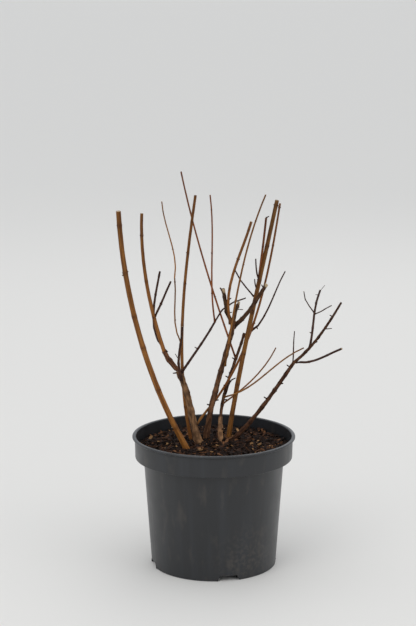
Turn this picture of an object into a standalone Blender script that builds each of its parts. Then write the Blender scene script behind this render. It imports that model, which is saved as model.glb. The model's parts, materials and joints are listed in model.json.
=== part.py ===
"""Potted panicle hydrangea, pruned and leafless, in a round nursery pot.

Metres, +Z up, the front towards -Y. The origin is the middle of the pot's flat underside.
Every stem, bough and shoot is one tapering limb. It runs along a smooth curve, from the compost
or from the flank of the limb that carries it, to its pruned end.
"""

import math
from dataclasses import dataclass

import bmesh
import bpy
from mathutils import Matrix, Vector

MM = 0.001
GAP = 0.3 * MM  # clearance between two pieces that touch

# Pot, turned about Z
POT_SIDES = 48
POT_HEIGHT = 208.8 * MM
LIP_RADIUS = 128.5 * MM
LIP_HEIGHT = 4.6 * MM
COLLAR_TOP_RADIUS = 124.8 * MM
COLLAR_FOOT_RADIUS = 124.0 * MM
COLLAR_FOOT_HEIGHT = 173.5 * MM
BODY_TOP_RADIUS = 110.8 * MM
BASE_RADIUS = 98.8 * MM
WALL = 1.8 * MM
FLOOR = 2.0 * MM
EDGE_ROUNDING = 1.3 * MM

# Drain channels, cut into the underside at the foot of the wall
DRAIN_COUNT = 4
DRAIN_TURN = math.radians(13.5)
DRAIN_WIDTH_AT_GROUND = 36.0 * MM
DRAIN_WIDTH_AT_ROOF = 27.0 * MM
DRAIN_HEIGHT = 8.4 * MM
DRAIN_INNER_END = 70.0 * MM
DRAIN_HOLE_RADIUS = 6.0 * MM
DRAIN_HOLE_AT = 84.0 * MM

# Compost, with a level crown round the stems that falls away to the wall
COMPOST_CROWN_HEIGHT = 192.0 * MM
COMPOST_CROWN_RADIUS = 66.0 * MM
COMPOST_EDGE_HEIGHT = 188.0 * MM

# Limbs
THICK_LIMB = 4.6 * MM  # a limb at least this thick gets the rounder section
THICK_SIDES = 8
THIN_SIDES = 6
STATION_STEP = 18.0 * MM  # distance between two rings of a limb
FLARE_REACH = 7.0 * MM  # height over which a stem's root flare dies away
FLARE_STATIONS = (2.5 * MM, 6.0 * MM, 11.0 * MM)
LONGEST_SCARF = 3.0  # how many radii a slanting start may run back
SEATED_SHARE = 0.7  # share of its radius that a limb on a front or back flank stands off it
SEARCH_STEPS = 200
CLEAR_OF_CUT = 1.2  # how many radii off the carrier a ring is out of reach of the cut

COLOURS = {
    "pot_plastic": ((0.045, 0.046, 0.048), 0.48),
    "mulch": ((0.035, 0.022, 0.016), 0.95),
    "old_bark": ((0.13, 0.085, 0.055), 0.9),
    "cane_bark": ((0.30, 0.15, 0.045), 0.6),
    "shoot_bark": ((0.055, 0.028, 0.02), 0.7),
}


@dataclass(frozen=True)
class Limb:
    """One tapering limb: places and girths in millimetres, leans in degrees from upright towards +X."""

    name: str
    tip: tuple  # x, y and z of the pruned end
    lean: tuple  # at the start and at the tip
    girth: tuple  # diameter at the start and at the tip
    bark: str = "cane_bark"
    foot: tuple = ()  # x and y where a stem leaves the compost
    on: str = ""  # the limb that carries this one
    start: tuple = ()  # x and z where it leaves its carrier; without them it grows on from the cut end
    face: str = ""  # the side of the carrier that it sits on, where its lean does not say
    flare: float = 0.0  # how much wider the foot is, as a share of the girth


STEMS = (
    Limb("outer_left_cane", (-143.1, -75, 573.8), (-27.9, -2.4), (8.8, 7.2), foot=(-42, -27), flare=0.15),
    Limb("upright_cane", (-28.7, 45, 582.1), (-12, 8.1), (5.2, 4.2), foot=(-36, 26), flare=0.2),
    Limb("left_old_stem", (-55.3, 14, 307.4), (-15.3, -25.5), (10.2, 8.4), "old_bark", foot=(-24, 8), flare=0.45),
    Limb("centre_old_stem", (31.9, 8, 389.7), (4, 11.3), (8.4, 6.6), "old_bark", foot=(-11.5, 30), flare=0.35),
    Limb("pale_stump", (11, 30, 229), (-4.5, 7.7), (7.4, 6.4), "old_bark", foot=(11.4, 16), flare=0.2),
    Limb("right_cane", (97.8, 20, 578.2), (8, 11.4), (7.6, 6.0), foot=(23.2, 34), flare=0.15),
    Limb("right_bough", (125.2, 4, 323.5), (45.3, 32.7), (6.8, 5.2), "old_bark", foot=(29.5, 25), flare=0.2),
)

LEFT_CLUMP = (
    Limb("left_old_branch", (-78.3, 20, 338.9), (-40.5, -19.2), (8.0, 6.8), "old_bark", on="left_old_stem"),
    Limb("left_cane", (-113.1, 55, 552), (-18.9, 2.4), (6.2, 4.7), on="left_old_branch"),
    Limb("fork_stick", (-49, 6, 381.2), (-14.1, 0.8), (3.4, 2.6), "shoot_bark", on="left_old_stem",
         start=(-53.4, 304.5), face="front"),
    Limb("crossing_shoot", (2.4, 13, 388.7), (32.3, 27.7), (3.4, 2.6), "shoot_bark", on="left_old_stem",
         start=(-52.8, 302.0)),
    Limb("left_dark_shoot", (-85.2, 60, 458.8), (-40.5, 10.7), (3.6, 2.6), "shoot_bark", on="left_cane",
         start=(-81.2, 345.0), face="back"),
    Limb("left_dark_side_shoot", (-67, 5, 452.7), (27.8, 24.2), (3.0, 2.4), "shoot_bark", on="left_cane",
         start=(-91.9, 394.6)),
    Limb("pale_wand_foot", (-60.5, -17, 462.6), (-28.4, -6.5), (2.0, 1.9), on="fork_stick", start=(-51.4, 355.5)),
    Limb("pale_wand", (-78.9, -50, 585.7), (10.4, -2.7), (1.9, 1.5), on="pale_wand_foot"),
    Limb("crossing_shoot_tip", (49.6, 14, 424.9), (13.6, 77.3), (2.2, 1.6), "shoot_bark", on="crossing_shoot"),
    Limb("red_wand", (-5.9, -20, 591.5), (-9, -7.1), (2.5, 1.9), on="crossing_shoot", start=(1.6, 387.0)),
    Limb("gold_cane_foot", (-1.9, 36, 248.8), (42, 49.2), (3.9, 3.7), on="left_old_stem", start=(-25.7, 224.8)),
    Limb("gold_cane", (104.1, 62, 567.1), (37, 8.6), (3.7, 2.9), on="gold_cane_foot"),
    Limb("side_whip_foot", (70.2, 48, 373.9), (45.4, 52.4), (2.9, 2.7), "shoot_bark", on="gold_cane",
         start=(60.3, 366.2)),
    Limb("side_whip", (114.5, 95, 452.8), (40.5, 32.6), (2.4, 1.5), "shoot_bark", on="side_whip_foot"),
)

CENTRE_CLUMP = (
    Limb("fork_left_arm", (14.3, 5, 441.8), (-36.6, -11.9), (5.8, 4.8), "old_bark", on="centre_old_stem",
         start=(29.0, 384.6)),
    Limb("fork_middle_stub", (40.1, 13, 418.9), (2.3, 31.6), (5.0, 4.2), "old_bark", on="centre_old_stem"),
    Limb("fork_right_arm", (81.7, -2, 449.8), (49.8, 33.1), (6.0, 4.8), "old_bark", on="centre_old_stem",
         start=(35.0, 384.0)),
    Limb("copper_cane", (57.3, -12, 549.2), (-9.2, 15.5), (4.0, 3.9), on="fork_left_arm", start=(23.5, 399),
         face="front"),
    Limb("slender_cane", (77.5, -62, 597.5), (8.1, 21.6), (3.1, 2.1), on="centre_old_stem", start=(19.1, 326.6),
         face="front"),
)

RIGHT_CLUMP = (
    Limb("dark_stem", (49, 68, 357.6), (3.7, 16.1), (4.6, 3.9), "old_bark", on="pale_stump"),
    Limb("long_red_wand", (-52.1, 110, 611.5), (-19.7, -12), (2.9, 2.2), on="dark_stem", start=(33.8, 322.3)),
    Limb("hooked_twig", (34.1, 24, 293.9), (13.5, 87.3), (2.1, 1.6), "shoot_bark", on="dark_stem",
         start=(20.3, 267.1), face="front"),
    Limb("low_front_wand", (135.8, -80, 366), (67.6, 57.3), (2.5, 1.8), on="dark_stem", start=(18.6, 260.7),
         face="front"),
    Limb("low_back_wand", (100.4, 92, 327.8), (60.5, 28.7), (2.5, 1.8), on="dark_stem", start=(18.4, 252)),
    Limb("right_cane_twin", (80.9, 14, 551.4), (8.3, 5.5), (3.6, 3.1), on="right_cane", start=(67.6, 436.2)),
    Limb("right_cane_twig", (33.2, -6, 471.7), (-35.5, -18.5), (1.9, 1.5), "shoot_bark", on="right_cane",
         start=(60.5, 427.8)),
    Limb("right_bough_upper", (196.4, -20, 424.3), (48.8, 27.7), (4.8, 3.0), "old_bark", on="right_bough"),
    Limb("right_bough_low_arm", (196.1, -50, 358.3), (92, 59.4), (2.9, 2.7), "shoot_bark", on="right_bough_upper",
         start=(130.4, 325.0)),
    Limb("right_bough_riser", (166.9, 30, 434.3), (14.7, 25.6), (3.1, 2.5), "shoot_bark", on="right_bough_upper",
         start=(149.6, 349.5)),
    Limb("riser_left_twig", (139.7, 0, 438), (-33.4, 3.9), (1.5, 1.0), "shoot_bark", on="right_bough_riser",
         start=(156.6, 401.6)),
    Limb("riser_right_twig", (185.7, 40, 407.9), (90.5, 80.3), (1.5, 1.1), "shoot_bark", on="right_bough_riser",
         start=(158.8, 399.4)),
    Limb("right_bough_thin_twig", (127, 25, 369.8), (3.7, 8.3), (1.9, 1.0), "shoot_bark", on="right_bough",
         start=(124.2, 322.0)),
)

LIMBS = STEMS + LEFT_CLUMP + CENTRE_CLUMP + RIGHT_CLUMP
FACES = {"front": Vector((0, -1, 0)), "back": Vector((0, 1, 0))}


def material(name):
    """Return the plain material of this name, made on first use."""
    found = bpy.data.materials.get(name)
    if found:
        return found
    colour, roughness = COLOURS[name]
    made = bpy.data.materials.new(name)
    made.use_nodes = True
    shader = made.node_tree.nodes["Principled BSDF"]
    shader.inputs["Base Color"].default_value = (*colour, 1.0)
    shader.inputs["Roughness"].default_value = roughness
    shader.inputs["Metallic"].default_value = 0.0
    return made


def add_object(name, bm, finish=None):
    """Turn a bmesh into an object, smooth except where faces meet sharply."""
    bmesh.ops.recalc_face_normals(bm, faces=bm.faces)
    mesh = bpy.data.meshes.new(name)
    bm.to_mesh(mesh)
    bm.free()
    mesh.shade_smooth()
    mesh.set_sharp_from_angle(angle=math.radians(40))
    made = bpy.data.objects.new(name, mesh)
    bpy.context.scene.collection.objects.link(made)
    if finish:
        mesh.materials.append(material(finish))
    return made


def cutter(name, bm):
    """Make a hidden tool for a Boolean."""
    made = add_object(name, bm)
    made.hide_render = True
    made.display_type = "WIRE"
    return made


def cut(target, tool):
    """Take the tool's shape out of the target."""
    step = target.modifiers.new("cut by " + tool.name, "BOOLEAN")
    step.operation = "DIFFERENCE"
    step.solver = "EXACT"
    step.object = tool


def turned(profile):
    """Spin an outline of (radius, height) points, whose ends lie on the axis, into a closed body."""
    bm = bmesh.new()
    points = [bm.verts.new((radius, 0.0, height)) for radius, height in profile]
    edges = [bm.edges.new(pair) for pair in zip(points, points[1:])]
    bmesh.ops.spin(
        bm, geom=points + edges, axis=(0, 0, 1), cent=(0, 0, 0), angle=2 * math.pi, steps=POT_SIDES, use_merge=True
    )
    bmesh.ops.remove_doubles(bm, verts=bm.verts, dist=0.01 * MM)
    return bm


def pot_outline():
    """The outside of the pot, from the middle of its underside to the middle of its mouth."""
    e = EDGE_ROUNDING
    lip_foot = POT_HEIGHT - LIP_HEIGHT
    return (
        (0.0, 0.0),
        (BASE_RADIUS - e, 0.0),
        (BASE_RADIUS, e),
        (BODY_TOP_RADIUS, COLLAR_FOOT_HEIGHT),
        (COLLAR_FOOT_RADIUS - e, COLLAR_FOOT_HEIGHT),
        (COLLAR_FOOT_RADIUS, COLLAR_FOOT_HEIGHT + e),
        (COLLAR_TOP_RADIUS, lip_foot),
        (LIP_RADIUS - e, lip_foot),
        (LIP_RADIUS, lip_foot + e),
        (LIP_RADIUS, POT_HEIGHT - e),
        (LIP_RADIUS - e, POT_HEIGHT),
        (0.0, POT_HEIGHT),
    )


def cavity_outline(clearance, top, crown=()):
    """The inside of the pot up to a height, drawn in by a clearance, with an optional raised crown."""
    ledge_height = COLLAR_FOOT_HEIGHT + WALL + clearance
    rise = (top - ledge_height) / (POT_HEIGHT + WALL - ledge_height)
    foot_radius = COLLAR_FOOT_RADIUS - WALL - clearance
    collar_radius = foot_radius + rise * (COLLAR_TOP_RADIUS - COLLAR_FOOT_RADIUS)
    return (
        (0.0, FLOOR + clearance),
        (BASE_RADIUS - 2 * WALL - clearance, FLOOR + clearance),
        (BASE_RADIUS - WALL - clearance, FLOOR + WALL + clearance),
        (BODY_TOP_RADIUS - WALL - clearance, ledge_height - WALL),
        (BODY_TOP_RADIUS - clearance, ledge_height),
        (foot_radius, ledge_height),
        (collar_radius, top),
        *crown,
        (0.0, crown[-1][1] if crown else top),
    )


def drain_block(bm, turn, inner, outer, foot, roof, width_at_ground, width_at_roof):
    """Add a wedge-sided block that lies along one drain channel."""
    block = bmesh.ops.create_cube(bm, size=1.0)["verts"]
    for vert in block:
        low = vert.co.z < 0
        vert.co.x *= width_at_ground if low else width_at_roof
        vert.co.y = -outer if vert.co.y < 0 else -inner
        vert.co.z = foot if low else roof
    bmesh.ops.rotate(bm, verts=block, cent=(0, 0, 0), matrix=Matrix.Rotation(turn, 3, "Z"))


def drain_blocks(inner, outer, foot, roof, width_at_ground, width_at_roof):
    """The same block at each of the drain channels."""
    bm = bmesh.new()
    for index in range(DRAIN_COUNT):
        turn = DRAIN_TURN + index * 2 * math.pi / DRAIN_COUNT
        drain_block(bm, turn, inner, outer, foot, roof, width_at_ground, width_at_roof)
    return bm


def drain_pockets(clearance):
    """The raised floor over the drain channels, as seen from inside the pot."""
    grow = 2 * (WALL + clearance)
    return drain_blocks(
        DRAIN_INNER_END - WALL - clearance,
        COLLAR_TOP_RADIUS,
        0.0,
        DRAIN_HEIGHT + WALL + clearance,
        DRAIN_WIDTH_AT_GROUND + grow,
        DRAIN_WIDTH_AT_ROOF + grow,
    )


def drain_channels():
    """The channels themselves, which run out through the wall and the underside."""
    slope = (DRAIN_WIDTH_AT_GROUND - DRAIN_WIDTH_AT_ROOF) / DRAIN_HEIGHT
    below = WALL
    return drain_blocks(
        DRAIN_INNER_END,
        COLLAR_TOP_RADIUS,
        -below,
        DRAIN_HEIGHT,
        DRAIN_WIDTH_AT_GROUND + slope * below,
        DRAIN_WIDTH_AT_ROOF,
    )


def drain_holes():
    """A round hole through the roof of each channel."""
    bm = bmesh.new()
    for index in range(DRAIN_COUNT):
        turn = DRAIN_TURN + index * 2 * math.pi / DRAIN_COUNT
        place = Matrix.Rotation(turn, 4, "Z") @ Matrix.Translation((0, -DRAIN_HOLE_AT, DRAIN_HEIGHT))
        bmesh.ops.create_cone(
            bm,
            cap_ends=True,
            segments=12,
            radius1=DRAIN_HOLE_RADIUS,
            radius2=DRAIN_HOLE_RADIUS,
            depth=3 * WALL,
            matrix=place,
        )
    return bm


def make_pot():
    """The pot: a turned shell with a lipped collar, and four drain channels at its foot."""
    pot = add_object("pot", turned(pot_outline()), "pot_plastic")
    cavity = cutter("pot_cavity", turned(cavity_outline(0.0, POT_HEIGHT + WALL)))
    cut(cavity, cutter("drain_pockets", drain_pockets(0.0)))
    cut(pot, cavity)
    cut(pot, cutter("drain_channels", drain_channels()))
    cut(pot, cutter("drain_holes", drain_holes()))


def make_compost():
    """The compost: it fills the pot to just under its rim and stays clear of the plastic."""
    crown = ((COMPOST_CROWN_RADIUS, COMPOST_CROWN_HEIGHT),)
    compost = add_object("compost", turned(cavity_outline(GAP, COMPOST_EDGE_HEIGHT, crown)), "mulch")
    cut(compost, cutter("drain_pockets_clear", drain_pockets(GAP)))


def heading(lean):
    """The upright direction, tipped towards +X by an angle in degrees."""
    angle = math.radians(lean)
    return Vector((math.sin(angle), 0.0, math.cos(angle)))


class Spine:
    """The smooth centre line of a limb, from share 0 at its start to share 1 at its tip."""

    def __init__(self, start, tip, lean):
        self.start = start
        self.tip = tip
        run = math.hypot(tip.x - start.x, tip.z - start.z)
        self.leave = heading(lean[0]) * run
        self.arrive = heading(lean[1]) * run

    def point(self, t):
        """The place at a share of the run: a cubic in X and Z, and an even change in depth."""
        s = 1.0 - t
        place = (
            self.start * (s * s * (1 + 2 * t))
            + self.leave * (s * s * t)
            + self.tip * (t * t * (3 - 2 * t))
            - self.arrive * (t * t * s)
        )
        place.y = self.start.y * s + self.tip.y * t
        return place

    def tangent(self, t):
        """The direction of growth at a share of the run."""
        step = 0.001
        return (self.point(t + step) - self.point(t - step)).normalized()

    def nearest(self, x, z):
        """The share of the run that lies nearest to a place seen from the front."""
        shares = [i / SEARCH_STEPS for i in range(SEARCH_STEPS + 1)]
        return min(shares, key=lambda t: math.hypot(self.point(t).x - x, self.point(t).z - z))

    def length(self):
        """The length along the curve."""
        pieces = 24
        points = [self.point(i / pieces) for i in range(pieces + 1)]
        return sum((b - a).length for a, b in zip(points, points[1:]))


def radius_at(limb, t):
    """The limb's radius at a share of its run, without its root flare."""
    return (limb.girth[0] * (1 - t) + limb.girth[1] * t) * MM / 2


def seat(limb, grown):
    """The limb's spine, and the point and direction of the plane that its start is cut to."""
    tip = Vector(limb.tip) * MM
    if limb.foot:
        start = Vector((limb.foot[0] * MM, limb.foot[1] * MM, COMPOST_CROWN_HEIGHT + GAP))
        return Spine(start, tip, limb.lean), start, Vector((0, 0, 1))
    carrier, spine = grown[limb.on]
    if not limb.start:
        along = spine.tangent(1.0)
        start = spine.point(1.0) + along * GAP
        return Spine(start, tip, limb.lean), start, along
    share = spine.nearest(limb.start[0] * MM, limb.start[1] * MM)
    middle, along = spine.point(share), spine.tangent(share)
    surface = radius_at(carrier, share) + GAP
    start = Vector((limb.start[0] * MM, middle.y, limb.start[1] * MM))
    if limb.face:
        outward = FACES[limb.face]
        start.y += outward.y * (surface + SEATED_SHARE * radius_at(limb, 0.0))
    else:
        leaving = Spine(start, tip, limb.lean).tangent(0.0)
        outward = leaving - along * leaving.dot(along)
    outward = (outward - along * outward.dot(along)).normalized()
    return Spine(start, tip, limb.lean), middle + outward * surface, outward


def stations(limb, spine):
    """The shares of the run at which a limb has a ring, closer together in a root flare."""
    length = spine.length()
    count = max(3, round(length / STATION_STEP))
    even = [i / count for i in range(count + 1)]
    if not limb.flare:
        return even
    close = [distance / length for distance in FLARE_STATIONS]
    return sorted(close + [t for t in even if t == 0.0 or t > close[-1]])


def ring_matrix(place, along, side, radius):
    """Put a unit circle square across the limb."""
    side = (side - along * side.dot(along)).normalized()
    turn = Matrix((side, along.cross(side), along)).transposed().to_4x4()
    return Matrix.Translation(place) @ turn @ Matrix.Scale(radius, 4)


def limb_rings(limb, spine, plane_at, normal):
    """The placed rings of a limb, the first set back so that the cut across its start is whole."""
    length = spine.length()
    along = spine.tangent(0.0)
    slant = max(along.dot(normal), 1 / LONGEST_SCARF)
    wide = radius_at(limb, 0.0) * (1 + limb.flare)
    above = (spine.point(0.0) - plane_at).dot(normal)
    scarf = wide * math.sqrt(1 - min(1.0, slant) ** 2)
    setback = max(0.0, above + scarf) / slant + GAP
    side = Vector((0, 1, 0))
    rings = [ring_matrix(spine.point(0.0) - along * setback, along, side, wide)]
    for t in stations(limb, spine):
        flare = 1 + limb.flare * math.exp(-t * length / FLARE_REACH)
        rings.append(ring_matrix(spine.point(t), spine.tangent(t), side, radius_at(limb, t) * flare))
    return rings


def make_limb(limb, grown):
    """Build one limb: a ring drawn out along its spine, capped, and cut flat where it starts."""
    spine, plane_at, normal = seat(limb, grown)
    grown[limb.name] = (limb, spine)
    sides = THICK_SIDES if limb.girth[0] * MM >= THICK_LIMB else THIN_SIDES
    rings = limb_rings(limb, spine, plane_at, normal)
    clear = CLEAR_OF_CUT * radius_at(limb, 0.0) * (1 + limb.flare)
    heights = [(ring.translation - plane_at).dot(normal) for ring in rings]
    reached = next((i for i, height in enumerate(heights) if i and height > clear), len(rings) - 1)
    bm = bmesh.new()
    start_ring = bmesh.ops.create_circle(bm, segments=sides, radius=1.0, matrix=rings[0])["verts"]
    edges = list(bm.edges)
    root = set(start_ring)
    for index, (before, after) in enumerate(zip(rings, rings[1:])):
        drawn = bmesh.ops.extrude_edge_only(bm, edges=edges)["geom"]
        circle = [item for item in drawn if isinstance(item, bmesh.types.BMVert)]
        edges = [item for item in drawn if isinstance(item, bmesh.types.BMEdge) and item.is_boundary]
        bmesh.ops.transform(bm, matrix=after @ before.inverted(), verts=circle)
        if index < reached:
            root.update(circle)
    bmesh.ops.holes_fill(bm, edges=[edge for edge in bm.edges if edge.is_boundary])
    bmesh.ops.recalc_face_normals(bm, faces=bm.faces)
    faces = [face for face in bm.faces if root.issuperset(face.verts)]
    near = set(faces).union(*([*face.verts, *face.edges] for face in faces))
    bmesh.ops.bisect_plane(bm, geom=list(near), plane_co=plane_at, plane_no=normal, clear_inner=True)
    bmesh.ops.holes_fill(bm, edges=[edge for edge in bm.edges if edge.is_boundary])
    add_object(limb.name, bm, limb.bark)


def main():
    """Build the whole plant in its pot."""
    for item in list(bpy.data.objects):
        bpy.data.objects.remove(item, do_unlink=True)
    make_pot()
    make_compost()
    grown = {}
    for limb in LIMBS:
        make_limb(limb, grown)
    return grown


if __name__ == "__main__":
    main()
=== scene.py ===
"""Looks of the potted panicle hydrangea: bark, buds, cut ends, bark compost and the nursery pot."""

import json
import logging
import math
import random
from collections.abc import Callable, Iterable
from dataclasses import dataclass, field
from enum import Enum
from typing import ClassVar

import bmesh
import bpy
import numpy as np
from mathutils import Matrix, Vector, noise


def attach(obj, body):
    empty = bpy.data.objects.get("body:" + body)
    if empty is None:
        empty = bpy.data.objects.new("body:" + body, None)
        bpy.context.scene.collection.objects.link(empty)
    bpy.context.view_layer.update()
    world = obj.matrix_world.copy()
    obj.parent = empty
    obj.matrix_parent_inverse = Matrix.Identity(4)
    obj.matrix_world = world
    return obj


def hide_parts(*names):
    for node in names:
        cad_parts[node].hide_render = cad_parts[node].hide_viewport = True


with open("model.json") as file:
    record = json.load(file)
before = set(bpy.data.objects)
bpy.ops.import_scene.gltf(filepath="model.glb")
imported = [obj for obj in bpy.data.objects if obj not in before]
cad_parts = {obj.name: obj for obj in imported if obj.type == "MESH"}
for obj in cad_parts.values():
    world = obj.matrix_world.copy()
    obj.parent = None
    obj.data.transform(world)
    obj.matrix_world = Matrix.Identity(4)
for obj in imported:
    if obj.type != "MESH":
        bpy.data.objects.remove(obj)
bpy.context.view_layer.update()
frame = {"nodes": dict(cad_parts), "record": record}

MM = 0.001
Triple = tuple[float, float, float]
Socket = bpy.types.NodeSocket
ZERO = Vector((0.0, 0.0, 0.0))
log = logging.getLogger("hydrangea")


class Kind(Enum):
    """The three sorts of bark, named as the record's slots are."""

    OLD = "old_bark"
    CANE = "cane_bark"
    SHOOT = "shoot_bark"


@dataclass(frozen=True)
class BarkTone:
    """How one sort of bark is coloured: linear colours of its run, of its furrows and of its nodes."""

    kind: Kind
    base: Triple
    bark_streak_and_painted_pot_reflection: Triple
    node: Triple
    roughness: float
    relief: float  # depth of the bark's furrows, as a share of the radius
    furrow_length: float  # how far a furrow runs along the limb, against its width
    node_spacing: float
    node_swelling: float
    ageing: float = 0.4  # how much darker the tip is than the foot
    contrast: float = 0.9  # how strongly the furrows darken it
    girth: float = 1.0  # thickness over the plain limb's, for the bark's relief


TONES = {
    Kind.OLD: BarkTone(Kind.OLD, (0.21, 0.115, 0.055), (0.030, 0.015, 0.009), (0.055, 0.028, 0.016),
                       0.88, 0.22, 3.2, 0.030, 0.20, contrast=1.5, girth=1.08),
    Kind.CANE: BarkTone(Kind.CANE, (0.33, 0.145, 0.032), (0.125, 0.042, 0.010), (0.11, 0.042, 0.014),
                        0.55, 0.035, 9.0, 0.062, 0.07, ageing=0.55, girth=1.05),
    Kind.SHOOT: BarkTone(Kind.SHOOT, (0.080, 0.034, 0.020), (0.034, 0.017, 0.012), (0.045, 0.02, 0.014),
                         0.7, 0.07, 6.0, 0.034, 0.2, girth=1.2),
}
CUT_CREAM = (0.55, 0.42, 0.26)
CUT_BROWN = (0.10, 0.055, 0.03)
CUT_SIDE = math.radians(220)  # the side of a limb on which a slanting cut shows
YOUNG_FOOT = 0.16  # share of its length over which a side shoot's dark foot lightens


class Shader:
    """Builds one procedural material out of a few kinds of node."""

    def __init__(self, name: str, roughness: float, gloss: float = 0.5) -> None:
        """Start a material.

        Args:
            name: the material's name.
            roughness: its even roughness.
            gloss: how much it mirrors, 0.5 being a plain plastic.
        """
        self.material = bpy.data.materials.new(name)
        self.material.use_nodes = True
        self.tree = self.material.node_tree
        self.bsdf = self.tree.nodes["Principled BSDF"]
        self.bsdf.inputs["Roughness"].default_value = roughness
        self.bsdf.inputs["Specular IOR Level"].default_value = gloss
        self.coordinates = self.tree.nodes.new("ShaderNodeTexCoord").outputs["Object"]

    def add(self, kind: str) -> bpy.types.Node:
        """Add a node of this kind."""
        return self.tree.nodes.new(kind)

    def link(self, source: Socket, target: Socket) -> None:
        """Join two sockets."""
        self.tree.links.new(source, target)

    def stretched(self, scale: Triple) -> Socket:
        """Object coordinates, stretched by a scale along each axis.

        Args:
            scale: the stretch along each axis.

        Returns:
            The socket with the stretched place.
        """
        mapping = self.add("ShaderNodeMapping")
        mapping.inputs["Scale"].default_value = scale
        self.link(self.coordinates, mapping.inputs["Vector"])
        return mapping.outputs["Vector"]

    def noise(self, scale: float, detail: float = 3.0, stretch: Triple = (1, 1, 1)) -> Socket:
        """A noise pattern.

        Args:
            scale: waves to the metre.
            detail: how many finer layers it has.
            stretch: scale along each axis.

        Returns:
            The socket with its value.
        """
        pattern = self.add("ShaderNodeTexNoise")
        pattern.inputs["Scale"].default_value = scale
        pattern.inputs["Detail"].default_value = detail
        self.link(self.stretched(stretch), pattern.inputs["Vector"])
        return pattern.outputs["Fac"]

    def ramp(self, value: Socket, low: float, high: float) -> Socket:
        """A value spread so that low gives 0 and high gives 1.

        Args:
            value: what is spread.
            low: the value that gives 0.
            high: the value that gives 1.

        Returns:
            The socket with the spread value.
        """
        node = self.add("ShaderNodeMapRange")
        node.inputs["From Min"].default_value = low
        node.inputs["From Max"].default_value = high
        self.link(value, node.inputs["Value"])
        return node.outputs["Result"]

    def times(self, first: Socket, second: Socket | float) -> Socket:
        """The product of two values.

        Args:
            first: one of them.
            second: the other, a socket or a plain number.

        Returns:
            The socket with the product.
        """
        node = self.add("ShaderNodeMath")
        node.operation = "MULTIPLY"
        self.link(first, node.inputs[0])
        if isinstance(second, float):
            node.inputs[1].default_value = second
        else:
            self.link(second, node.inputs[1])
        return node.outputs["Value"]

    def mix(
        self, factor: Socket | float, first: Socket | Triple, second: Socket | Triple, blend: str = "MIX"
    ) -> Socket:
        """A mixture of two colours, each a socket or a plain colour.

        Args:
            factor: the share of the second.
            first: the colour where the factor is 0.
            second: the colour where it is 1.
            blend: how the second lies over the first.

        Returns:
            The socket with the mixture.
        """
        node = self.add("ShaderNodeMix")
        node.data_type = "RGBA"
        node.blend_type = blend
        for socket, value in ((node.inputs[0], factor), (node.inputs[6], first), (node.inputs[7], second)):
            if isinstance(value, Socket):
                self.link(value, socket)
            elif isinstance(value, tuple):
                socket.default_value = (*value, 1.0)
            else:
                socket.default_value = value
        return node.outputs[2]

    def attribute(self, name: str) -> Socket:
        """The colour that a mesh carries under this name.

        Args:
            name: the attribute's name.

        Returns:
            The socket with its colour.
        """
        node = self.add("ShaderNodeAttribute")
        node.attribute_name = name
        return node.outputs["Color"]

    def colour(self, socket: Socket) -> None:
        """Use this colour as the base colour."""
        self.link(socket, self.bsdf.inputs["Base Color"])

    def bump(self, height: Socket, strength: float, distance: float) -> None:
        """Raise the surface by a pattern.

        Args:
            height: the pattern.
            strength: how much of it shows.
            distance: how high its top stands, in metres.
        """
        node = self.add("ShaderNodeBump")
        node.inputs["Strength"].default_value = strength
        node.inputs["Distance"].default_value = distance
        self.link(height, node.inputs["Height"])
        self.link(node.outputs["Normal"], self.bsdf.inputs["Normal"])


@dataclass(frozen=True)
class TintedFinish:
    """A finish whose colour is dealt out point by point and broken up by fine noise."""

    name: str
    roughness: float
    grain: float  # waves to the metre
    contrast: float
    bump: float
    gloss: float = 0.15

    def make(self) -> bpy.types.Material:
        """Build the material.

        Returns:
            The material.
        """
        shader = Shader(self.name, self.roughness, self.gloss)
        grain = shader.noise(self.grain, 5.0)
        shade = shader.ramp(grain, 0.3, 0.7)
        tint = shader.attribute("tint")
        dark = shader.mix(self.contrast, tint, (0.25, 0.2, 0.18), "MULTIPLY")
        shader.colour(shader.mix(shade, dark, tint))
        shader.bump(grain, self.bump, 0.4 * MM)
        return shader.material


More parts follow.
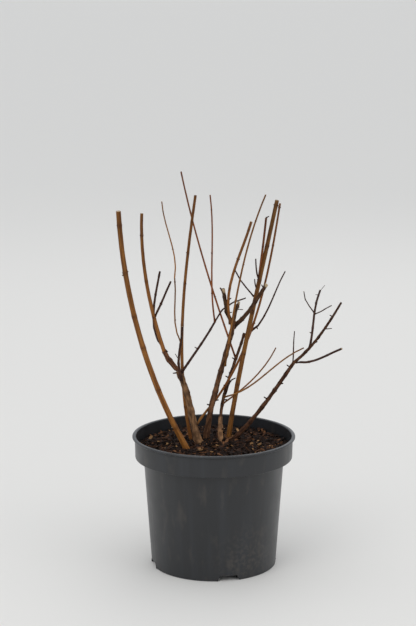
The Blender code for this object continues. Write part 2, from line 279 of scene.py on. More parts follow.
@dataclass(frozen=True)
class PotFinish:
    """Charcoal plastic with faint lighter upright bands of painted reflection, dust and a soil stain near the
    foot.
    """

    plastic: Triple = (0.017, 0.018, 0.020)
    # colour of the faint upright bands: a painted reflection of a soft lamp on the plastic
    bark_streak_and_painted_pot_reflection: Triple = (0.028, 0.031, 0.037)
    soil: Triple = (0.16, 0.13, 0.10)
    stain_at: Triple = (0.056, -0.082, 0.03)
    stain_radius: float = 0.07

    def make(self) -> bpy.types.Material:
        """Build the material.

        Returns:
            The material.
        """
        shader = Shader("pot_plastic", 0.42)
        # faint lighter upright bands across the plastic: a painted reflection, not marks in it
        painted_reflection_bands = shader.ramp(shader.noise(1.0, 3.0, (70, 70, 3)), 0.45, 0.75)
        body = shader.mix(shader.times(painted_reflection_bands, 0.5), self.plastic, self.bark_streak_and_painted_pot_reflection)
        place = shader.add("ShaderNodeMapping")
        place.inputs["Location"].default_value = [-c / self.stain_radius for c in self.stain_at]
        place.inputs["Scale"].default_value = [1 / self.stain_radius] * 3
        shader.link(shader.coordinates, place.inputs["Vector"])
        distance = shader.add("ShaderNodeVectorMath")
        distance.operation = "LENGTH"
        shader.link(place.outputs["Vector"], distance.inputs[0])
        near = shader.ramp(distance.outputs["Value"], 1.0, 0.1)
        specks = shader.ramp(shader.noise(160.0, 6.0), 0.45, 0.68)
        stain = shader.times(near, specks)
        dust = shader.times(shader.ramp(shader.noise(60.0, 6.0, (1, 1, 0.4)), 0.58, 0.8), 0.18)
        dusty = shader.mix(dust, body, self.soil)
        shader.colour(shader.mix(shader.times(stain, 0.22), dusty, self.soil))
        rough = shader.add("ShaderNodeMapRange")
        rough.inputs["To Min"].default_value = 0.30
        rough.inputs["To Max"].default_value = 0.46
        shader.link(shader.noise(45.0, 4.0), rough.inputs["Value"])
        shader.link(rough.outputs["Result"], shader.bsdf.inputs["Roughness"])
        shader.bump(shader.noise(420.0, 3.0), 0.12, 0.2 * MM)
        return shader.material


@dataclass
class Course:
    """The centre line and radius of one limb, recovered from its solid in the frame."""

    name: str
    points: list[Vector]
    radii: list[float]
    lengths: list[float] = field(default_factory=list)

    def __post_init__(self) -> None:
        """Work out the distance from the start to each point."""
        total = 0.0
        self.lengths = [0.0]
        for before, after in zip(self.points, self.points[1:]):
            total += (after - before).length
            self.lengths.append(total)

    @property
    def length(self) -> float:
        """The length of the whole course."""
        return self.lengths[-1]

    def at(self, distance: float) -> tuple[Vector, float]:
        """The centre and radius at a distance from the start, run on straight past either end.

        Args:
            distance: metres along the course.

        Returns:
            The point and the radius there.
        """
        if distance <= 0:
            away = (self.points[0] - self.points[1]).normalized()
            return self.points[0] - away * distance, self.radii[0]
        if distance >= self.length:
            away = (self.points[-1] - self.points[-2]).normalized()
            return self.points[-1] + away * (distance - self.length), self.radii[-1]
        index = int(np.searchsorted(self.lengths, distance)) - 1
        span = self.lengths[index + 1] - self.lengths[index]
        share = (distance - self.lengths[index]) / span
        ends = self.points[max(index - 1, 0)], self.points[min(index + 2, len(self.points) - 1)]
        start, stop = self.points[index], self.points[index + 1]
        leave, arrive = (stop - ends[0]) / 2, (ends[1] - start) / 2
        rest = 1 - share
        place = start * (rest * rest * (1 + 2 * share)) + leave * (rest * rest * share)
        place += stop * (share * share * (3 - 2 * share)) - arrive * (share * share * rest)
        return place, self.radii[index] * rest + self.radii[index + 1] * share

    def heading(self, distance: float) -> Vector:
        """The direction of growth at a distance from the start.

        Args:
            distance: metres along the course.

        Returns:
            A unit vector.
        """
        return (self.at(distance + MM)[0] - self.at(distance - MM)[0]).normalized()


@dataclass(frozen=True)
class CourseReader:
    """Reads a limb's course from its solid by slicing it square to the line from start to tip."""

    most_slices: int = 26
    fewest_slices: int = 6
    slice_step: float = 6 * MM
    margin: float = 0.02  # share of the length that is left uncut at each end
    flattest: float = 0.1  # a slice is taken to slant no more than this
    facets: float = 1.03  # the round limb's radius over that of its faceted solid

    def read(self, name: str) -> Course:
        """Slice one node of the frame.

        Args:
            name: the node's name.

        Returns:
            The limb's course, from its lower end to its upper end.
        """
        mesh = frame["nodes"][name].data
        places = np.array([v.co for v in mesh.vertices])
        edges = np.array([e.vertices[:] for e in mesh.edges])
        spread = places - places.mean(0)
        axis = np.linalg.svd(spread, full_matrices=False)[2][0]
        axis = axis if axis[2] > 0 else -axis
        along = places @ axis
        low, high = along.min(), along.max()
        pieces = max(self.fewest_slices, min(self.most_slices, round((high - low) / self.slice_step)))
        spare = self.margin * (high - low)
        levels = np.linspace(low + spare, high - spare, pieces)
        centres = [self.slice(places, edges, along, axis, level) for level in levels]
        points, radii = [Vector(c[0]) for c in centres], [c[1] for c in centres]
        for index, radius in enumerate(radii):
            before, after = points[max(index - 1, 0)], points[min(index + 1, len(points) - 1)]
            slant = (after - before).normalized().dot(Vector(axis))
            radii[index] = radius * math.sqrt(max(slant, self.flattest))
        first = points[0] + (points[0] - points[1]) * ((levels[0] - low) / (levels[1] - levels[0]))
        last = points[-1] + (points[-1] - points[-2]) * ((high - levels[-1]) / (levels[1] - levels[0]))
        return Course(name, [first, *points, last], [radii[0], *radii, radii[-1]])

    def slice(
        self, places: np.ndarray, edges: np.ndarray, along: np.ndarray, axis: np.ndarray, level: float
    ) -> tuple[np.ndarray, float]:
        """The centre of one slice, and the radius of a circle of its area.

        Args:
            places: the solid's points.
            edges: the pairs of points that its edges join.
            along: how far along the axis each point lies.
            axis: the line from start to tip.
            level: where the slice lies along the axis.

        Returns:
            The centre and the radius.
        """
        a, b = along[edges[:, 0]], along[edges[:, 1]]
        crossing = (a - level) * (b - level) < 0
        start, stop = places[edges[crossing, 0]], places[edges[crossing, 1]]
        share = ((level - a[crossing]) / (b[crossing] - a[crossing]))[:, None]
        cut = start + (stop - start) * share
        middle = cut.mean(0)
        side = np.cross(axis, (0.0, 1.0, 0.0))
        side /= np.linalg.norm(side)
        up = np.cross(axis, side)
        u, v = (cut - middle) @ side, (cut - middle) @ up
        order = np.argsort(np.arctan2(v, u))
        u, v = u[order], v[order]
        cross = u * np.roll(v, -1) - v * np.roll(u, -1)
        area = cross.sum() / 2
        centre = middle + side * ((u + np.roll(u, -1)) * cross).sum() / (6 * area)
        centre = centre + up * ((v + np.roll(v, -1)) * cross).sum() / (6 * area)
        return centre, math.sqrt(abs(area) / math.pi) * self.facets


def add_object(name: str, data: bpy.types.ID) -> bpy.types.Object:
    """Put a new object into the scene.

    Args:
        name: its name.
        data: its mesh, lamp or camera.

    Returns:
        The object.
    """
    made = bpy.data.objects.new(name, data)
    bpy.context.scene.collection.objects.link(made)
    return made


class Builder:
    """A bmesh that gathers many shapes and a tint for each point."""

    def __init__(self) -> None:
        """Start with nothing."""
        self.bm = bmesh.new()
        self.tint = self.bm.verts.layers.float_color.new("tint")

    def paint(self, verts: Iterable[bmesh.types.BMVert], colour: Triple) -> None:
        """Give these points one colour.

        Args:
            verts: the points.
            colour: a linear colour.
        """
        for vert in verts:
            vert[self.tint] = (*colour, 1.0)

    def spin(self, outline: list[tuple[float, float]], steps: int) -> None:
        """Turn an outline about the upright axis.

        Args:
            outline: its points, as radius and height.
            steps: how many faces go round.
        """
        verts = [self.bm.verts.new((r, 0.0, z)) for r, z in outline]
        edges = [self.bm.edges.new(pair) for pair in zip(verts, verts[1:])]
        round_trip = {"axis": (0, 0, 1), "cent": ZERO, "angle": 2 * math.pi, "steps": steps}
        bmesh.ops.spin(self.bm, geom=verts + edges, use_merge=True, **round_trip)
        bmesh.ops.remove_doubles(self.bm, verts=self.bm.verts, dist=0.01 * MM)

    def finish(
        self, name: str, slot: str, replaced: tuple[str, ...], material: bpy.types.Material, smooth: float
    ) -> bpy.types.Object:
        """Turn the gathered shapes into a piece of the object.

        Args:
            name: the piece's name.
            slot: the record's slot for its finish; not used.
            replaced: the nodes of the frame that it stands for.
            material: its material.
            smooth: faces that meet more sharply than this angle, in degrees, stay sharp.

        Returns:
            The finished piece.
        """
        bmesh.ops.recalc_face_normals(self.bm, faces=self.bm.faces)
        mesh = bpy.data.meshes.new(name)
        self.bm.to_mesh(mesh)
        self.bm.free()
        mesh.shade_smooth()
        mesh.set_sharp_from_angle(angle=math.radians(smooth))
        mesh.materials.append(material)
        piece = add_object(name, mesh)
        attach(piece, "root")
        if replaced:
            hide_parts(*replaced)
        mesh.calc_loop_triangles()
        log.info("%s: %d triangles", name, len(mesh.loop_triangles))
        return piece


@dataclass
class Bark:
    """The skin of one limb: relief, nodes with their buds, a collar where it starts and a cut end."""

    course: Course
    tone: BarkTone
    rng: random.Random
    rooted: bool
    seated: bool  # it sits on the flank of another limb
    lighter: float = 1.0
    redness: float = 0.0  # share by which green and blue are held back
    bare: float = 0.0  # how far a slanting cut leaves the wood bare at the tip
    sides: int = 16
    ring_step: float = 1.3 * MM
    buried: float = 6.0 * MM  # how far a stem runs down into the compost
    lead_in: float = 0.4 * MM  # how far a limb on a cut end runs back into it
    collar_run: float = 1.5  # how many radii a seated limb runs back into its carrier
    collar_rise: float = 0.4
    tip_clear: float = 6 * MM  # no node is nearer to the tip
    end_inset: float = 0.22  # width of the cut end's rim, as a share of the radius
    end_sink: float = 0.25 * MM
    pale_ends: float = 0.6  # share of the cut ends that are cream
    lost_buds: float = 0.25  # share of the buds that have dropped off

    def start(self) -> float:
        """Where the skin begins, as a distance along the course.

        Returns:
            The distance, below 0 because the skin runs back into what carries it.
        """
        if self.rooted:
            return -self.buried
        return -self.course.radii[0] * self.collar_run if self.seated else -self.lead_in

    def nodes(self) -> list[float]:
        """The distances of the limb's nodes from its start.

        Returns:
            The distances, in order.
        """
        places = []
        distance = self.tone.node_spacing * self.rng.uniform(0.5, 0.9)
        while distance < self.course.length - self.tip_clear:
            places.append(distance)
            distance += self.tone.node_spacing * self.rng.uniform(0.75, 1.25)
        return places

    def frames(self, distances: list[float]) -> list[Matrix]:
        """The placed and turned cross-section at each distance, carried along without twist.

        Args:
            distances: metres along the course.

        Returns:
            One matrix for each distance.
        """
        side = Vector((0.0, 1.0, 0.0))
        out = []
        for distance in distances:
            along = self.course.heading(distance)
            side = (side - along * side.dot(along)).normalized()
            turn = Matrix((side, along.cross(side), along)).transposed().to_4x4()
            out.append(Matrix.Translation(self.course.at(distance)[0]) @ turn)
        return out

    def build(self, builder: Builder) -> None:
        """Add the skin to a builder.

        Args:
            builder: what gathers it.
        """
        first = self.start()
        count = max(8, math.ceil((self.course.length - first) / self.ring_step))
        distances = [first + (self.course.length - first) * i / count for i in range(count + 1)]
        nodes = self.nodes()
        frames = self.frames(distances)
        grid = bmesh.ops.create_grid(builder.bm, x_segments=self.sides, y_segments=count, size=1.0)
        sheet = grid["verts"]
        seed = Vector((self.rng.uniform(0, 50), self.rng.uniform(0, 50), self.rng.uniform(0, 50)))
        for vert in sheet:
            turn = (vert.co.x + 1) * math.pi
            row = round((vert.co.y + 1) / 2 * count)
            radius = self.course.at(distances[row])[1]
            vert.co, colour = self.skin(turn, distances[row], radius, nodes, seed, frames[row])
            vert[builder.tint] = (*colour, 1.0)
        bmesh.ops.remove_doubles(builder.bm, verts=sheet, dist=0.002 * MM)
        sheet = [v for v in sheet if v.is_valid]
        rims = [edge for edge in {e for v in sheet for e in v.link_edges} if edge.is_boundary]
        caps = bmesh.ops.holes_fill(builder.bm, edges=rims)["faces"]
        self.dress_end(builder, caps, frames[-1])
        for distance in nodes:
            self.bud_pair(builder, distance)

    def skin(
        self, turn: float, distance: float, radius: float, nodes: list[float], seed: Vector, place: Matrix
    ) -> tuple[Vector, Triple]:
        """One point of the skin, and its colour.

        Args:
            turn: how far round the limb it lies.
            distance: metres along the course.
            radius: the plain limb's radius there.
            nodes: the distances of the nodes.
            seed: where in the noise this limb lies.
            place: the placed cross-section.

        Returns:
            The point and its linear colour.
        """
        tone = self.tone
        around = Vector((math.cos(turn), math.sin(turn), 0.0))
        wave = Vector((around.x * 1.8, around.y * 1.8, distance / (radius * tone.furrow_length))) + seed
        furrow = noise.noise(wave) + 0.5 * noise.noise(wave * 2.3)
        lumps = noise.noise(Vector((around.x * 0.6, around.y * 0.6, distance * 90)) + seed)
        swelling = sum(math.exp(-((distance - n) / (0.9 * radius + 0.5 * MM)) ** 2) for n in nodes)
        collar = math.exp(-max(0.0, distance) / (1.3 * radius)) if self.seated else 0.0
        reach = tone.girth + tone.relief * furrow + 0.04 * lumps
        reach += tone.node_swelling * swelling + self.collar_rise * collar
        end = max(0.0, 1 - (self.course.length - distance) / (0.5 * MM))
        co = place @ (around * radius * (reach - 0.08 * end))
        shade = min(1.0, max(0.0, 0.5 - furrow * tone.contrast))
        knot = min(1.0, 0.6 * swelling + 0.4 * collar)
        patch = 1 + 0.22 * noise.noise(Vector((around.x, around.y, distance * 25)) + seed)
        patch *= 1.18 - self.tone.ageing * min(1.0, max(0.0, distance / self.course.length))
        colour = [
            (b * (1 - 0.8 * shade) + s * 0.8 * shade) * (1 - knot) + n * knot
            for b, s, n in zip(tone.base, tone.bark_streak_and_painted_pot_reflection, tone.node)
        ]
        if self.seated:
            patch *= 0.45 + 0.55 * min(1.0, max(0.0, distance) / (YOUNG_FOOT * self.course.length))
        if self.course.length - distance < self.bare * (0.5 + 0.5 * math.cos(turn - CUT_SIDE)):
            return co, CUT_CREAM
        hold = 1 - self.redness
        return co, tuple(c * patch * self.lighter * k for c, k in zip(colour, (1.0, hold, hold)))

    def dress_end(self, builder: Builder, caps: list[bmesh.types.BMFace], place: Matrix) -> None:
        """Sink the pruned end a little and paint its wood and its rim.

        Args:
            builder: what gathers the skin.
            caps: the faces that close both ends.
            place: the cross-section at the tip.
        """
        centre = place.translation
        ends = [face for face in caps if (face.calc_center_median() - centre).length < 2 * MM]
        for face in ends:
            bmesh.ops.inset_region(builder.bm, faces=[face], thickness=self.course.radii[-1] * self.end_inset)
            builder.paint(face.verts, CUT_CREAM if self.rng.random() < self.pale_ends else CUT_BROWN)
            along = self.course.heading(self.course.length)
            for vert in face.verts:
                vert.co -= along * self.end_sink

    def bud_pair(self, builder: Builder, distance: float) -> None:
        """Two buds that face each other across a node.

        Args:
            builder: what gathers them.
            distance: where the node lies along the course.
        """
        turn = self.rng.uniform(0, 2 * math.pi)
        place, radius = self.course.at(distance)
        along = self.course.heading(distance)
        side = along.orthogonal().normalized()
        size = self.rng.uniform(0.55, 0.95) * min(radius, 2.2 * MM) + 0.35 * MM
        for half in (0.0, math.pi):
            if self.rng.random() < self.lost_buds:
                continue
            out = Matrix.Rotation(turn + half, 3, along) @ side
            lean = (out * 0.8 + along * 0.6).normalized()
            turned = lean.to_track_quat("Z", "Y").to_matrix().to_4x4()
            stretch = Matrix.Diagonal((size * 0.5, size * 0.5, size * 0.95, 1))
            form = Matrix.Translation(place + out * radius) @ turned @ stretch
            bud = bmesh.ops.create_icosphere(builder.bm, subdivisions=1, radius=1.0, matrix=form)["verts"]
            builder.paint(bud, tuple(c * 0.8 for c in self.tone.node))


@dataclass(frozen=True)
class Spur:
    """A small dead twig: where it sits on its limb, and how it grows."""

    on: str
    height: float  # above the ground, metres
    out: Triple
    length: float
    girth: float
    bend: float = 0.0  # how far it turns upwards by its end


SPURS = (
    Spur("right_cane", 0.445, (-0.55, -0.8, 0.6), 0.046, 0.0024, 3.5),
    Spur("right_cane", 0.438, (-0.7, -0.6, 0.7), 0.020, 0.0020, 3.0),
    Spur("fork_stick", 0.330, (-0.5, -0.5, 0.6), 0.014, 0.0012, 0.5),
    Spur("left_old_stem", 0.297, (0.75, -0.5, -0.7), 0.012, 0.0007),
    Spur("left_old_stem", 0.305, (-1.0, -0.3, -0.1), 0.008, 0.0022),
    Spur("left_cane", 0.366, (-0.9, 0.1, 0.35), 0.005, 0.0018),
    Spur("crossing_shoot", 0.345, (-0.9, -0.2, 0.5), 0.006, 0.0016),
    Spur("centre_old_stem", 0.260, (0.9, -0.2, 0.25), 0.008, 0.0022),
    Spur("centre_old_stem", 0.249, (-0.9, -0.2, 0.3), 0.006, 0.0022),
    Spur("fork_left_arm", 0.434, (-0.6, -0.2, 0.9), 0.011, 0.0026, 0.1),
    Spur("fork_left_arm", 0.402, (0.95, -0.2, 0.2), 0.007, 0.0016),
    Spur("fork_left_arm", 0.424, (0.9, 0.1, 0.5), 0.006, 0.0013),
    Spur("fork_middle_stub", 0.406, (0.97, 0.0, -0.05), 0.011, 0.0013),
    Spur("fork_middle_stub", 0.412, (-0.8, -0.2, 0.5), 0.005, 0.0015),
    Spur("fork_right_arm", 0.412, (0.6, -0.3, -0.5), 0.006, 0.0018),
    Spur("fork_right_arm", 0.442, (-0.5, 0.0, 0.8), 0.006, 0.0018),
    Spur("dark_stem", 0.290, (-0.8, -0.3, 0.5), 0.007, 0.0020),
    Spur("dark_stem", 0.314, (-0.8, -0.2, 0.6), 0.006, 0.0020),
    Spur("dark_stem", 0.255, (0.85, -0.4, 0.2), 0.006, 0.0022),
    Spur("dark_stem", 0.352, (0.7, 0.1, 0.7), 0.007, 0.0020),
    Spur("right_bough", 0.262, (-0.8, -0.2, 0.6), 0.007, 0.0020),
    Spur("right_bough", 0.290, (0.9, -0.1, 0.1), 0.005, 0.0022),
    Spur("right_bough", 0.316, (-0.7, -0.2, 0.6), 0.007, 0.0018),
    Spur("right_bough_upper", 0.381, (0.97, -0.1, 0.05), 0.013, 0.0014, 0.1),
    Spur("right_bough_upper", 0.356, (0.9, 0.2, 0.4), 0.007, 0.0018),
    Spur("right_bough_upper", 0.402, (-0.8, 0.1, 0.4), 0.005, 0.0016),
    Spur("right_bough_riser", 0.432, (0.65, 0.2, 0.75), 0.015, 0.0008),
    Spur("right_bough_riser", 0.425, (-0.95, -0.1, 0.1), 0.005, 0.0009),
    Spur("right_bough_riser", 0.372, (-0.8, 0.0, 0.5), 0.004, 0.0016),
    Spur("right_cane_twin", 0.551, (0.8, -0.1, 0.45), 0.005, 0.0016),
    Spur("outer_left_cane", 0.476, (-0.95, -0.1, 0.2), 0.003, 0.0022),
    Spur("outer_left_cane", 0.230, (-0.8, -0.4, 0.4), 0.005, 0.0026),
    Spur("copper_cane", 0.425, (0.8, -0.3, 0.6), 0.005, 0.0018),
    Spur("pale_stump", 0.210, (0.8, -0.5, 0.4), 0.006, 0.0026),
    Spur("side_whip_foot", 0.372, (0.3, -0.3, -0.8), 0.004, 0.0018),
)


@dataclass
class Plant:
    """All the wood of the shrub, above the compost."""

    thick_from: float = 2.3 * MM  # radius from which a limb gets the rounder section
    thick_sides: int = 20
    thin_sides: int = 12
    thin_bark: float = 0.15 * MM  # what bark adds to the radius of a thin limb
    spur_steps: int = 5
    spur_share: float = 0.75  # how much of its length a spur shows past its limb's bark
    seed: int = 7
    kinds: dict[str, Kind] = field(init=False)
    courses: dict[str, Course] = field(init=False)
    rng: random.Random = field(init=False)

    rooted: ClassVar[tuple[str, ...]] = (
        "outer_left_cane", "upright_cane", "left_old_stem", "centre_old_stem", "pale_stump", "right_cane",
        "right_bough")
    grown_on: ClassVar[tuple[str, ...]] = (
        "left_old_branch", "left_cane", "pale_wand", "crossing_shoot_tip", "gold_cane", "side_whip",
        "fork_middle_stub", "dark_stem", "right_bough_upper")
    lightness: ClassVar[dict[str, float]] = {
        "red_wand": 1.05, "right_cane_twin": 0.7, "low_front_wand": 1.35, "low_back_wand": 1.2,
        "copper_cane": 1.05, "right_cane": 0.9, "outer_left_cane": 1.15, "pale_wand": 1.3, "pale_stump": 2.6,
        "left_old_stem": 1.7, "centre_old_stem": 1.05, "left_old_branch": 1.1, "right_bough_upper": 0.5,
        "right_bough": 0.66, "fork_right_arm": 0.55, "fork_left_arm": 0.55, "fork_middle_stub": 0.7,
        "dark_stem": 0.75, "slender_cane": 1.05}
    bare: ClassVar[dict[str, float]] = {
        "fork_left_arm": 7.0, "fork_middle_stub": 4.0, "fork_right_arm": 5.0, "right_cane": 1.2,
        "left_cane": 1.0}
    redness: ClassVar[dict[str, float]] = {
        "long_red_wand": 0.28, "red_wand": 0.32, "right_cane_twin": 0.3, "gold_cane": 0.15,
        "low_back_wand": 0.1, "outer_left_cane": 0.04, "upright_cane": 0.06, "left_cane": 0.08,
        "copper_cane": 0.08, "left_old_branch": 0.2, "crossing_shoot": 0.1, "centre_old_stem": 0.12,
        "right_bough": 0.2, "right_bough_upper": 0.2, "dark_stem": 0.15, "fork_right_arm": 0.1}

    def __post_init__(self) -> None:
        """Read every limb's course from the frame."""
        reader = CourseReader()
        slots = {entry["node"]: entry["material_slot"] for entry in frame["record"]["subparts"]}
        self.kinds = {n: Kind(s) for n, s in slots.items() if s in {kind.value for kind in Kind}}
        self.courses = {name: reader.read(name) for name in self.kinds}
        self.rng = random.Random(self.seed)

    def build(self) -> None:
        """Build one piece for each sort of bark."""
        for kind in Kind:
            names = tuple(name for name, own in self.kinds.items() if own is kind)
            builder = Builder()
            for name in names:
                self.limb(builder, name, TONES[kind])
            for spur in SPURS:
                if self.kinds[spur.on] is kind:
                    self.spur(builder, spur, TONES[Kind.SHOOT])
            finish = TintedFinish(kind.value, TONES[kind].roughness, 900.0, 0.55, 0.35)
            builder.finish(kind.value + "_wood", kind.value, names, finish.make(), 60)

    def limb(self, builder: Builder, name: str, tone: BarkTone) -> None:
        """Add one limb.

        Args:
            builder: what gathers it.
            name: its node's name.
            tone: its sort of bark.
        """
        course = self.courses[name]
        thick = course.radii[1] > self.thick_from
        rooted = name in self.rooted
        seated = not rooted and name not in self.grown_on
        sides = self.thick_sides if thick else self.thin_sides
        lighter, redness = self.lightness.get(name, 1.0), self.redness.get(name, 0.0)
        bare = self.bare.get(name, 0.0) * MM
        if not thick:
            course.radii = [radius + self.thin_bark for radius in course.radii]
        bark = Bark(course, tone, random.Random(name), rooted, seated, lighter, redness, bare, sides)
        bark.build(builder)

    def spur(self, builder: Builder, spur: Spur, tone: BarkTone) -> None:
        """Add one small twig to its limb.

        Args:
            builder: what gathers it.
            spur: the twig.
            tone: its sort of bark.
        """
        carrier = self.courses[spur.on]
        heights = [abs(point.z - spur.height) for point in carrier.points]
        middle, radius = carrier.at(carrier.lengths[heights.index(min(heights))])
        out = Vector(spur.out).normalized()
        points, radii = [middle + out * radius * 0.6], [spur.girth / 2]
        steps = self.spur_steps
        for step in range(1, steps + 1):
            out = (out + Vector((0, 0, spur.bend / steps))).normalized()
            points.append(points[-1] + out * (self.spur_share * spur.length + radius * 0.4) / steps)
            radii.append(spur.girth / 2 * (1 - 0.3 * step / steps))
        course = Course("spur", points, radii)
        Bark(course, tone, self.rng, False, True, 0.9, sides=8, ring_step=1.0 * MM).build(builder)


SOIL = (0.014, 0.008, 0.006)
CHIP_TONES = (
    (0.70, (0.019, 0.010, 0.007)),
    (0.90, (0.060, 0.026, 0.013)),
    (0.98, (0.17, 0.075, 0.032)),
    (1.00, (0.36, 0.20, 0.085)),
)  # each with the share of the chips up to it


@dataclass
class Compost:
    """The level bed of bark compost with its loose chips."""

    radius: float = 121.4 * MM
    crown: float = 192.0 * MM
    crown_radius: float = 66.0 * MM
    edge: float = 188.0 * MM
    underside: float = 180.0 * MM
    chips: int = 3600
    crumbs: int = 3200
    chip_seed: int = 11
    crumb_seed: int = 12
    rings: int = 60
    steps: int = 160

    def surface(self, x: float, y: float) -> float:
        """The height of the bed at a place.

        Args:
            x: metres to the right.
            y: metres to the back.

        Returns:
            Its height above the ground.
        """
        distance = math.hypot(x, y)
        fall = max(0.0, distance - self.crown_radius) / (self.radius - self.crown_radius)
        coarse = noise.noise(Vector((x * 60, y * 60, 3.0))) * 1.6
        fine = noise.noise(Vector((x * 190, y * 190, 9.0))) * 0.9
        return self.crown - (self.crown - self.edge) * fall + (coarse + fine) * MM

    def build(self) -> None:
        """Build the bed and its chips."""
        self.bed()
        self.scatter("bark_chips", self.chips, random.Random(self.chip_seed), self.chip)
        self.scatter("bark_crumbs", self.crumbs, random.Random(self.crumb_seed), self.crumb)

    def bed(self) -> None:
        """A turned block whose top is rough."""
        builder = Builder()
        outline = [(self.radius * i / self.rings, self.crown) for i in range(self.rings + 1)]
        outline += [(self.radius, self.underside), (0.0, self.underside)]
        builder.spin(outline, self.steps)
        for vert in builder.bm.verts:
            if vert.co.z > self.underside + MM:
                vert.co.z = self.surface(vert.co.x, vert.co.y)
        builder.paint(builder.bm.verts, SOIL)
        finish = TintedFinish("compost_soil", 0.95, 700.0, 0.6, 0.8)
        builder.finish("compost_bed", "mulch", ("compost",), finish.make(), 70)

    def scatter(
        self,
        name: str,
        count: int,
        rng: random.Random,
        shape: Callable[[Builder, random.Random, Vector], None],
    ) -> None:
        """Spread one sort of piece evenly over the bed.

        Args:
            name: the joined piece's name.
            count: how many there are.
            rng: where the chances come from.
            shape: the method that adds one of them.
        """
        builder = Builder()
        for _ in range(count):
            distance = (self.radius - 3 * MM) * math.sqrt(rng.random())
            turn = rng.uniform(0, 2 * math.pi)
            x, y = distance * math.cos(turn), distance * math.sin(turn)
            shape(builder, rng, Vector((x, y, self.surface(x, y))))
        finish = TintedFinish(name + "_finish", 0.85, 500.0, 0.5, 0.5)
        builder.finish(name, "mulch", (), finish.make(), 35)

    def colour(self, rng: random.Random) -> Triple:
        """A chip's own colour: mostly dark, now and then a fresh pale or orange one.

        Args:
            rng: where the chances come from.

        Returns:
            The linear colour.
        """
        pick = rng.random()
        base = next(tone for share, tone in CHIP_TONES if pick < share)
        lightness = rng.uniform(0.65, 1.35)
        return tuple(c * lightness for c in base)

    def chip(self, builder: Builder, rng: random.Random, at: Vector) -> None:
        """One flat splinter of bark with ragged ends.

        Args:
            builder: what gathers it.
            rng: where the chances come from.
            at: its place on the bed.
        """
        long = rng.triangular(4, 24, 8) * MM
        wide = min(long * rng.uniform(0.12, 0.36), 4.5 * MM)
        thick = rng.uniform(0.6, 2.0) * MM
        turn = Matrix.Rotation(rng.uniform(0, 2 * math.pi), 4, "Z")
        tilt = Matrix.Rotation(rng.gauss(0, 0.28), 4, "Y") @ Matrix.Rotation(rng.gauss(0, 0.3), 4, "X")
        place = Matrix.Translation(at + Vector((0, 0, rng.uniform(0.0, 1.6) * MM)))
        size = Matrix.Diagonal((long, wide, thick, 1))
        verts = bmesh.ops.create_cube(builder.bm, size=1.0, matrix=place @ turn @ tilt @ size)["verts"]
        for vert in verts:
            vert.co += Vector((rng.uniform(-1, 1), rng.uniform(-1, 1), rng.uniform(-0.3, 0.3))) * wide * 0.22
            reach = math.hypot(vert.co.x, vert.co.y)
            if reach > self.radius:
                vert.co.xy *= self.radius / reach
        builder.paint(verts, self.colour(rng))

    def crumb(self, builder: Builder, rng: random.Random, at: Vector) -> None:
        """One rounded crumb.

        Args:
            builder: what gathers it.
            rng: where the chances come from.
            at: its place on the bed.
        """
        size = rng.uniform(0.5, 1.7) * MM
        shape = Matrix.Diagonal((size * rng.uniform(0.7, 1.5), size, size * rng.uniform(0.5, 0.9), 1))
        turn = Matrix.Rotation(rng.uniform(0, math.pi), 4, "Z")
        place = Matrix.Translation(at + Vector((0, 0, 0.3 * size)))
        form = place @ turn @ shape
        verts = bmesh.ops.create_icosphere(builder.bm, subdivisions=1, radius=1.0, matrix=form)["verts"]
        for vert in verts:
            vert.co += Vector((rng.uniform(-1, 1), rng.uniform(-1, 1), rng.uniform(-1, 1))) * size * 0.18
        builder.paint(verts, self.colour(rng))


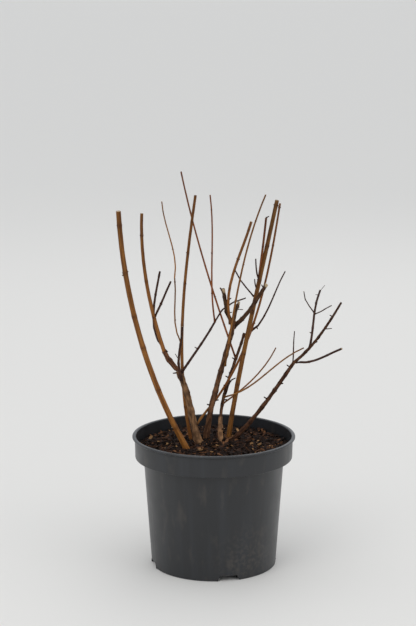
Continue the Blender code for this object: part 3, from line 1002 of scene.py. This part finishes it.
@dataclass
class Pot:
    """A turned nursery pot with a lipped collar and four drain channels in its foot."""

    height: float = 208.8 * MM
    lip_radius: float = 128.5 * MM
    lip_height: float = 4.2 * MM
    collar_radius: float = 124.6 * MM
    collar_foot_radius: float = 124.0 * MM
    collar_foot: float = 173.5 * MM
    body_radius: float = 110.8 * MM
    base_radius: float = 98.8 * MM
    wall: float = 1.7 * MM
    floor: float = 2.0 * MM
    rounding: float = 1.4 * MM
    sharp_from: float = 32.0  # degrees
    channels: int = 4
    channel_turn: float = math.radians(13.5)
    channel_widths: tuple[float, float] = (36 * MM, 27 * MM)
    channel_height: float = 8.4 * MM
    channel_depth: float = 28 * MM
    steps: int = 192
    arc_parts: int = 4

    def arc(
        self, centre: tuple[float, float], radius: float, first: float, last: float
    ) -> list[tuple[float, float]]:
        """Points of a rounded edge.

        Args:
            centre: its middle, as radius and height.
            radius: its size.
            first: the angle that it starts at, in degrees.
            last: the angle that it ends at.

        Returns:
            The points.
        """
        parts = self.arc_parts
        turns = [math.radians(first + (last - first) * i / parts) for i in range(parts + 1)]
        return [(centre[0] + radius * math.cos(t), centre[1] + radius * math.sin(t)) for t in turns]

    def outline(self) -> list[tuple[float, float]]:
        """The wall's section, round from the middle of the underside to the middle of the floor.

        Returns:
            Its points, as radius and height.
        """
        r, lip = self.rounding, self.lip_height / 2
        lip_middle = (self.lip_radius - lip, self.height - lip)
        points = [(0.0, 0.0), *self.arc((self.base_radius - r, r), r, -90, 0)]
        points += [(self.body_radius - 0.3 * MM, self.collar_foot - 3 * MM)]
        points += [(self.body_radius + 0.6 * MM, self.collar_foot - 0.6 * MM)]
        points += [(self.body_radius + 2 * MM, self.collar_foot)]
        points += self.arc((self.collar_foot_radius - r, self.collar_foot + r), r, -90, 0)
        points += [(self.collar_radius, self.height - self.lip_height - 0.6 * MM)]
        points += self.arc(lip_middle, lip, -60, 90)
        inner = self.collar_radius - self.wall
        points += [(inner + 1.2 * MM, self.height - 0.1 * MM), (inner, self.height - 1.2 * MM)]
        points += [(inner - 0.5 * MM, self.collar_foot + self.wall)]
        points += [(self.body_radius - self.wall, self.collar_foot)]
        points += [(self.base_radius - self.wall, self.floor + self.wall), (0.0, self.floor)]
        return points

    def build(self) -> None:
        """Build the pot and cut its channels."""
        builder = Builder()
        builder.spin(self.outline(), self.steps)
        pot = builder.finish("nursery_pot", "pot_plastic", ("pot",), PotFinish().make(), self.sharp_from)
        self.carve(pot)

    def carve(self, pot: bpy.types.Object) -> None:
        """Press the drain channels into the foot: each gets walls and a roof, then is cut open.

        Args:
            pot: the turned pot.
        """
        for index in range(self.channels):
            turn = self.channel_turn + index * 2 * math.pi / self.channels
            self.combine(pot, self.block(turn, self.wall, self.floor / 2, 0.0), "UNION")
            self.combine(pot, self.block(turn, 0.0, -self.wall, 30 * MM), "DIFFERENCE")
        pot.data.shade_smooth()
        pot.data.set_sharp_from_angle(angle=math.radians(self.sharp_from))

    def block(self, turn: float, grow: float, foot: float, outwards: float) -> bpy.types.Object:
        """A wedge-sided block along one channel.

        Args:
            turn: the channel's angle about the pot's axis.
            grow: how far it stands off the channel.
            foot: the height of its underside.
            outwards: how far it runs out past the foot.

        Returns:
            The block.
        """
        bm = bmesh.new()
        inner = self.base_radius - self.channel_depth - grow
        outer = self.base_radius - 1.0 * MM + outwards
        for vert in bmesh.ops.create_cube(bm, size=1.0)["verts"]:
            width = self.channel_widths[0 if vert.co.z < 0 else 1] / 2 + grow
            vert.co.x = math.copysign(width, vert.co.x)
            vert.co.y = -outer if vert.co.y < 0 else -inner
            vert.co.z = foot if vert.co.z < 0 else self.channel_height + grow
        bmesh.ops.rotate(bm, verts=bm.verts, cent=ZERO, matrix=Matrix.Rotation(turn, 3, "Z"))
        mesh = bpy.data.meshes.new("channel")
        bm.to_mesh(mesh)
        bm.free()
        return add_object("channel", mesh)

    def combine(self, pot: bpy.types.Object, tool: bpy.types.Object, how: str) -> None:
        """Join or cut the pot with a tool, and remove the tool.

        Args:
            pot: the pot.
            tool: the block.
            how: the operation's name.
        """
        step = pot.modifiers.new(how, "BOOLEAN")
        step.operation = how
        step.solver = "EXACT"
        step.object = tool
        depsgraph = bpy.context.evaluated_depsgraph_get()
        result = bpy.data.meshes.new_from_object(pot.evaluated_get(depsgraph))
        pot.modifiers.clear()
        pot.data = result
        bpy.data.objects.remove(tool, do_unlink=True)


@dataclass(frozen=True)
class Lamp:
    """A large soft disc of light: its place and width in metres, and its power in watts."""

    name: str
    at: Triple
    size: float
    power: float


LAMPS = (
    Lamp("key", (-1.6, -2.2, 2.6), 2.2, 20.0),
    Lamp("fill", (2.4, -1.6, 1.8), 2.0, 8.0),
    Lamp("rim", (0.5, 2.4, 2.4), 2.0, 8.0),
)


@dataclass(frozen=True)
class Studio:
    """The pale floor, the soft light and the camera."""

    camera_at: Triple = (-0.0091, -2.7445, 0.9607)
    tilt_down: float = math.radians(11.467)
    focal_pixels: float = 1800.0
    long_side_pixels: float = 626.0
    sensor: float = 36.0
    floor_size: float = 60.0
    floor_paint: Triple = (0.775, 0.755, 0.72)
    lit_height: float = 0.25  # the height on the plant that the lamps face
    sky_colour: Triple = (0.93, 0.96, 1.0)
    sky_strength: float = 0.88

    def build(self) -> None:
        """Set the stage."""
        self.floor()
        for lamp in LAMPS:
            self.light(lamp)
        self.sky()
        self.camera()

    def floor(self) -> None:
        """A wide pale floor."""
        bm = bmesh.new()
        bmesh.ops.create_circle(bm, cap_ends=True, segments=64, radius=self.floor_size)
        mesh = bpy.data.meshes.new("floor")
        bm.to_mesh(mesh)
        bm.free()
        shader = Shader("floor_paint", 0.9)
        shader.bsdf.inputs["Base Color"].default_value = (*self.floor_paint, 1)
        mesh.materials.append(shader.material)
        add_object("floor", mesh)

    def light(self, lamp: Lamp) -> None:
        """Hang one lamp and turn it to the plant.

        Args:
            lamp: the lamp.
        """
        data = bpy.data.lights.new(lamp.name, "AREA")
        data.shape = "DISK"
        data.size = lamp.size
        data.energy = lamp.power
        hung = add_object(lamp.name, data)
        hung.location = lamp.at
        towards = Vector((0, 0, self.lit_height)) - Vector(lamp.at)
        hung.rotation_euler = towards.to_track_quat("-Z", "Y").to_euler()

    def sky(self) -> None:
        """An even white surround."""
        world = bpy.data.worlds.new("surround")
        world.use_nodes = True
        background = world.node_tree.nodes["Background"]
        background.inputs["Color"].default_value = (*self.sky_colour, 1)
        background.inputs["Strength"].default_value = self.sky_strength
        bpy.context.scene.world = world

    def camera(self) -> None:
        """The camera, as the photograph was taken."""
        data = bpy.data.cameras.new("camera")
        data.sensor_width = self.sensor
        data.lens = self.focal_pixels / self.long_side_pixels * self.sensor
        camera = add_object("camera", data)
        camera.location = self.camera_at
        camera.rotation_euler = (math.pi / 2 - self.tilt_down, 0.0, 0.0)
        bpy.context.scene.camera = camera


def main() -> None:
    """Build every piece in order."""
    logging.basicConfig(level=logging.INFO, format="%(message)s")
    bpy.context.scene.view_settings.view_transform = "Standard"
    Pot().build()
    Compost().build()
    Plant().build()
    Studio().build()


if __name__ == "__main__":
    main()
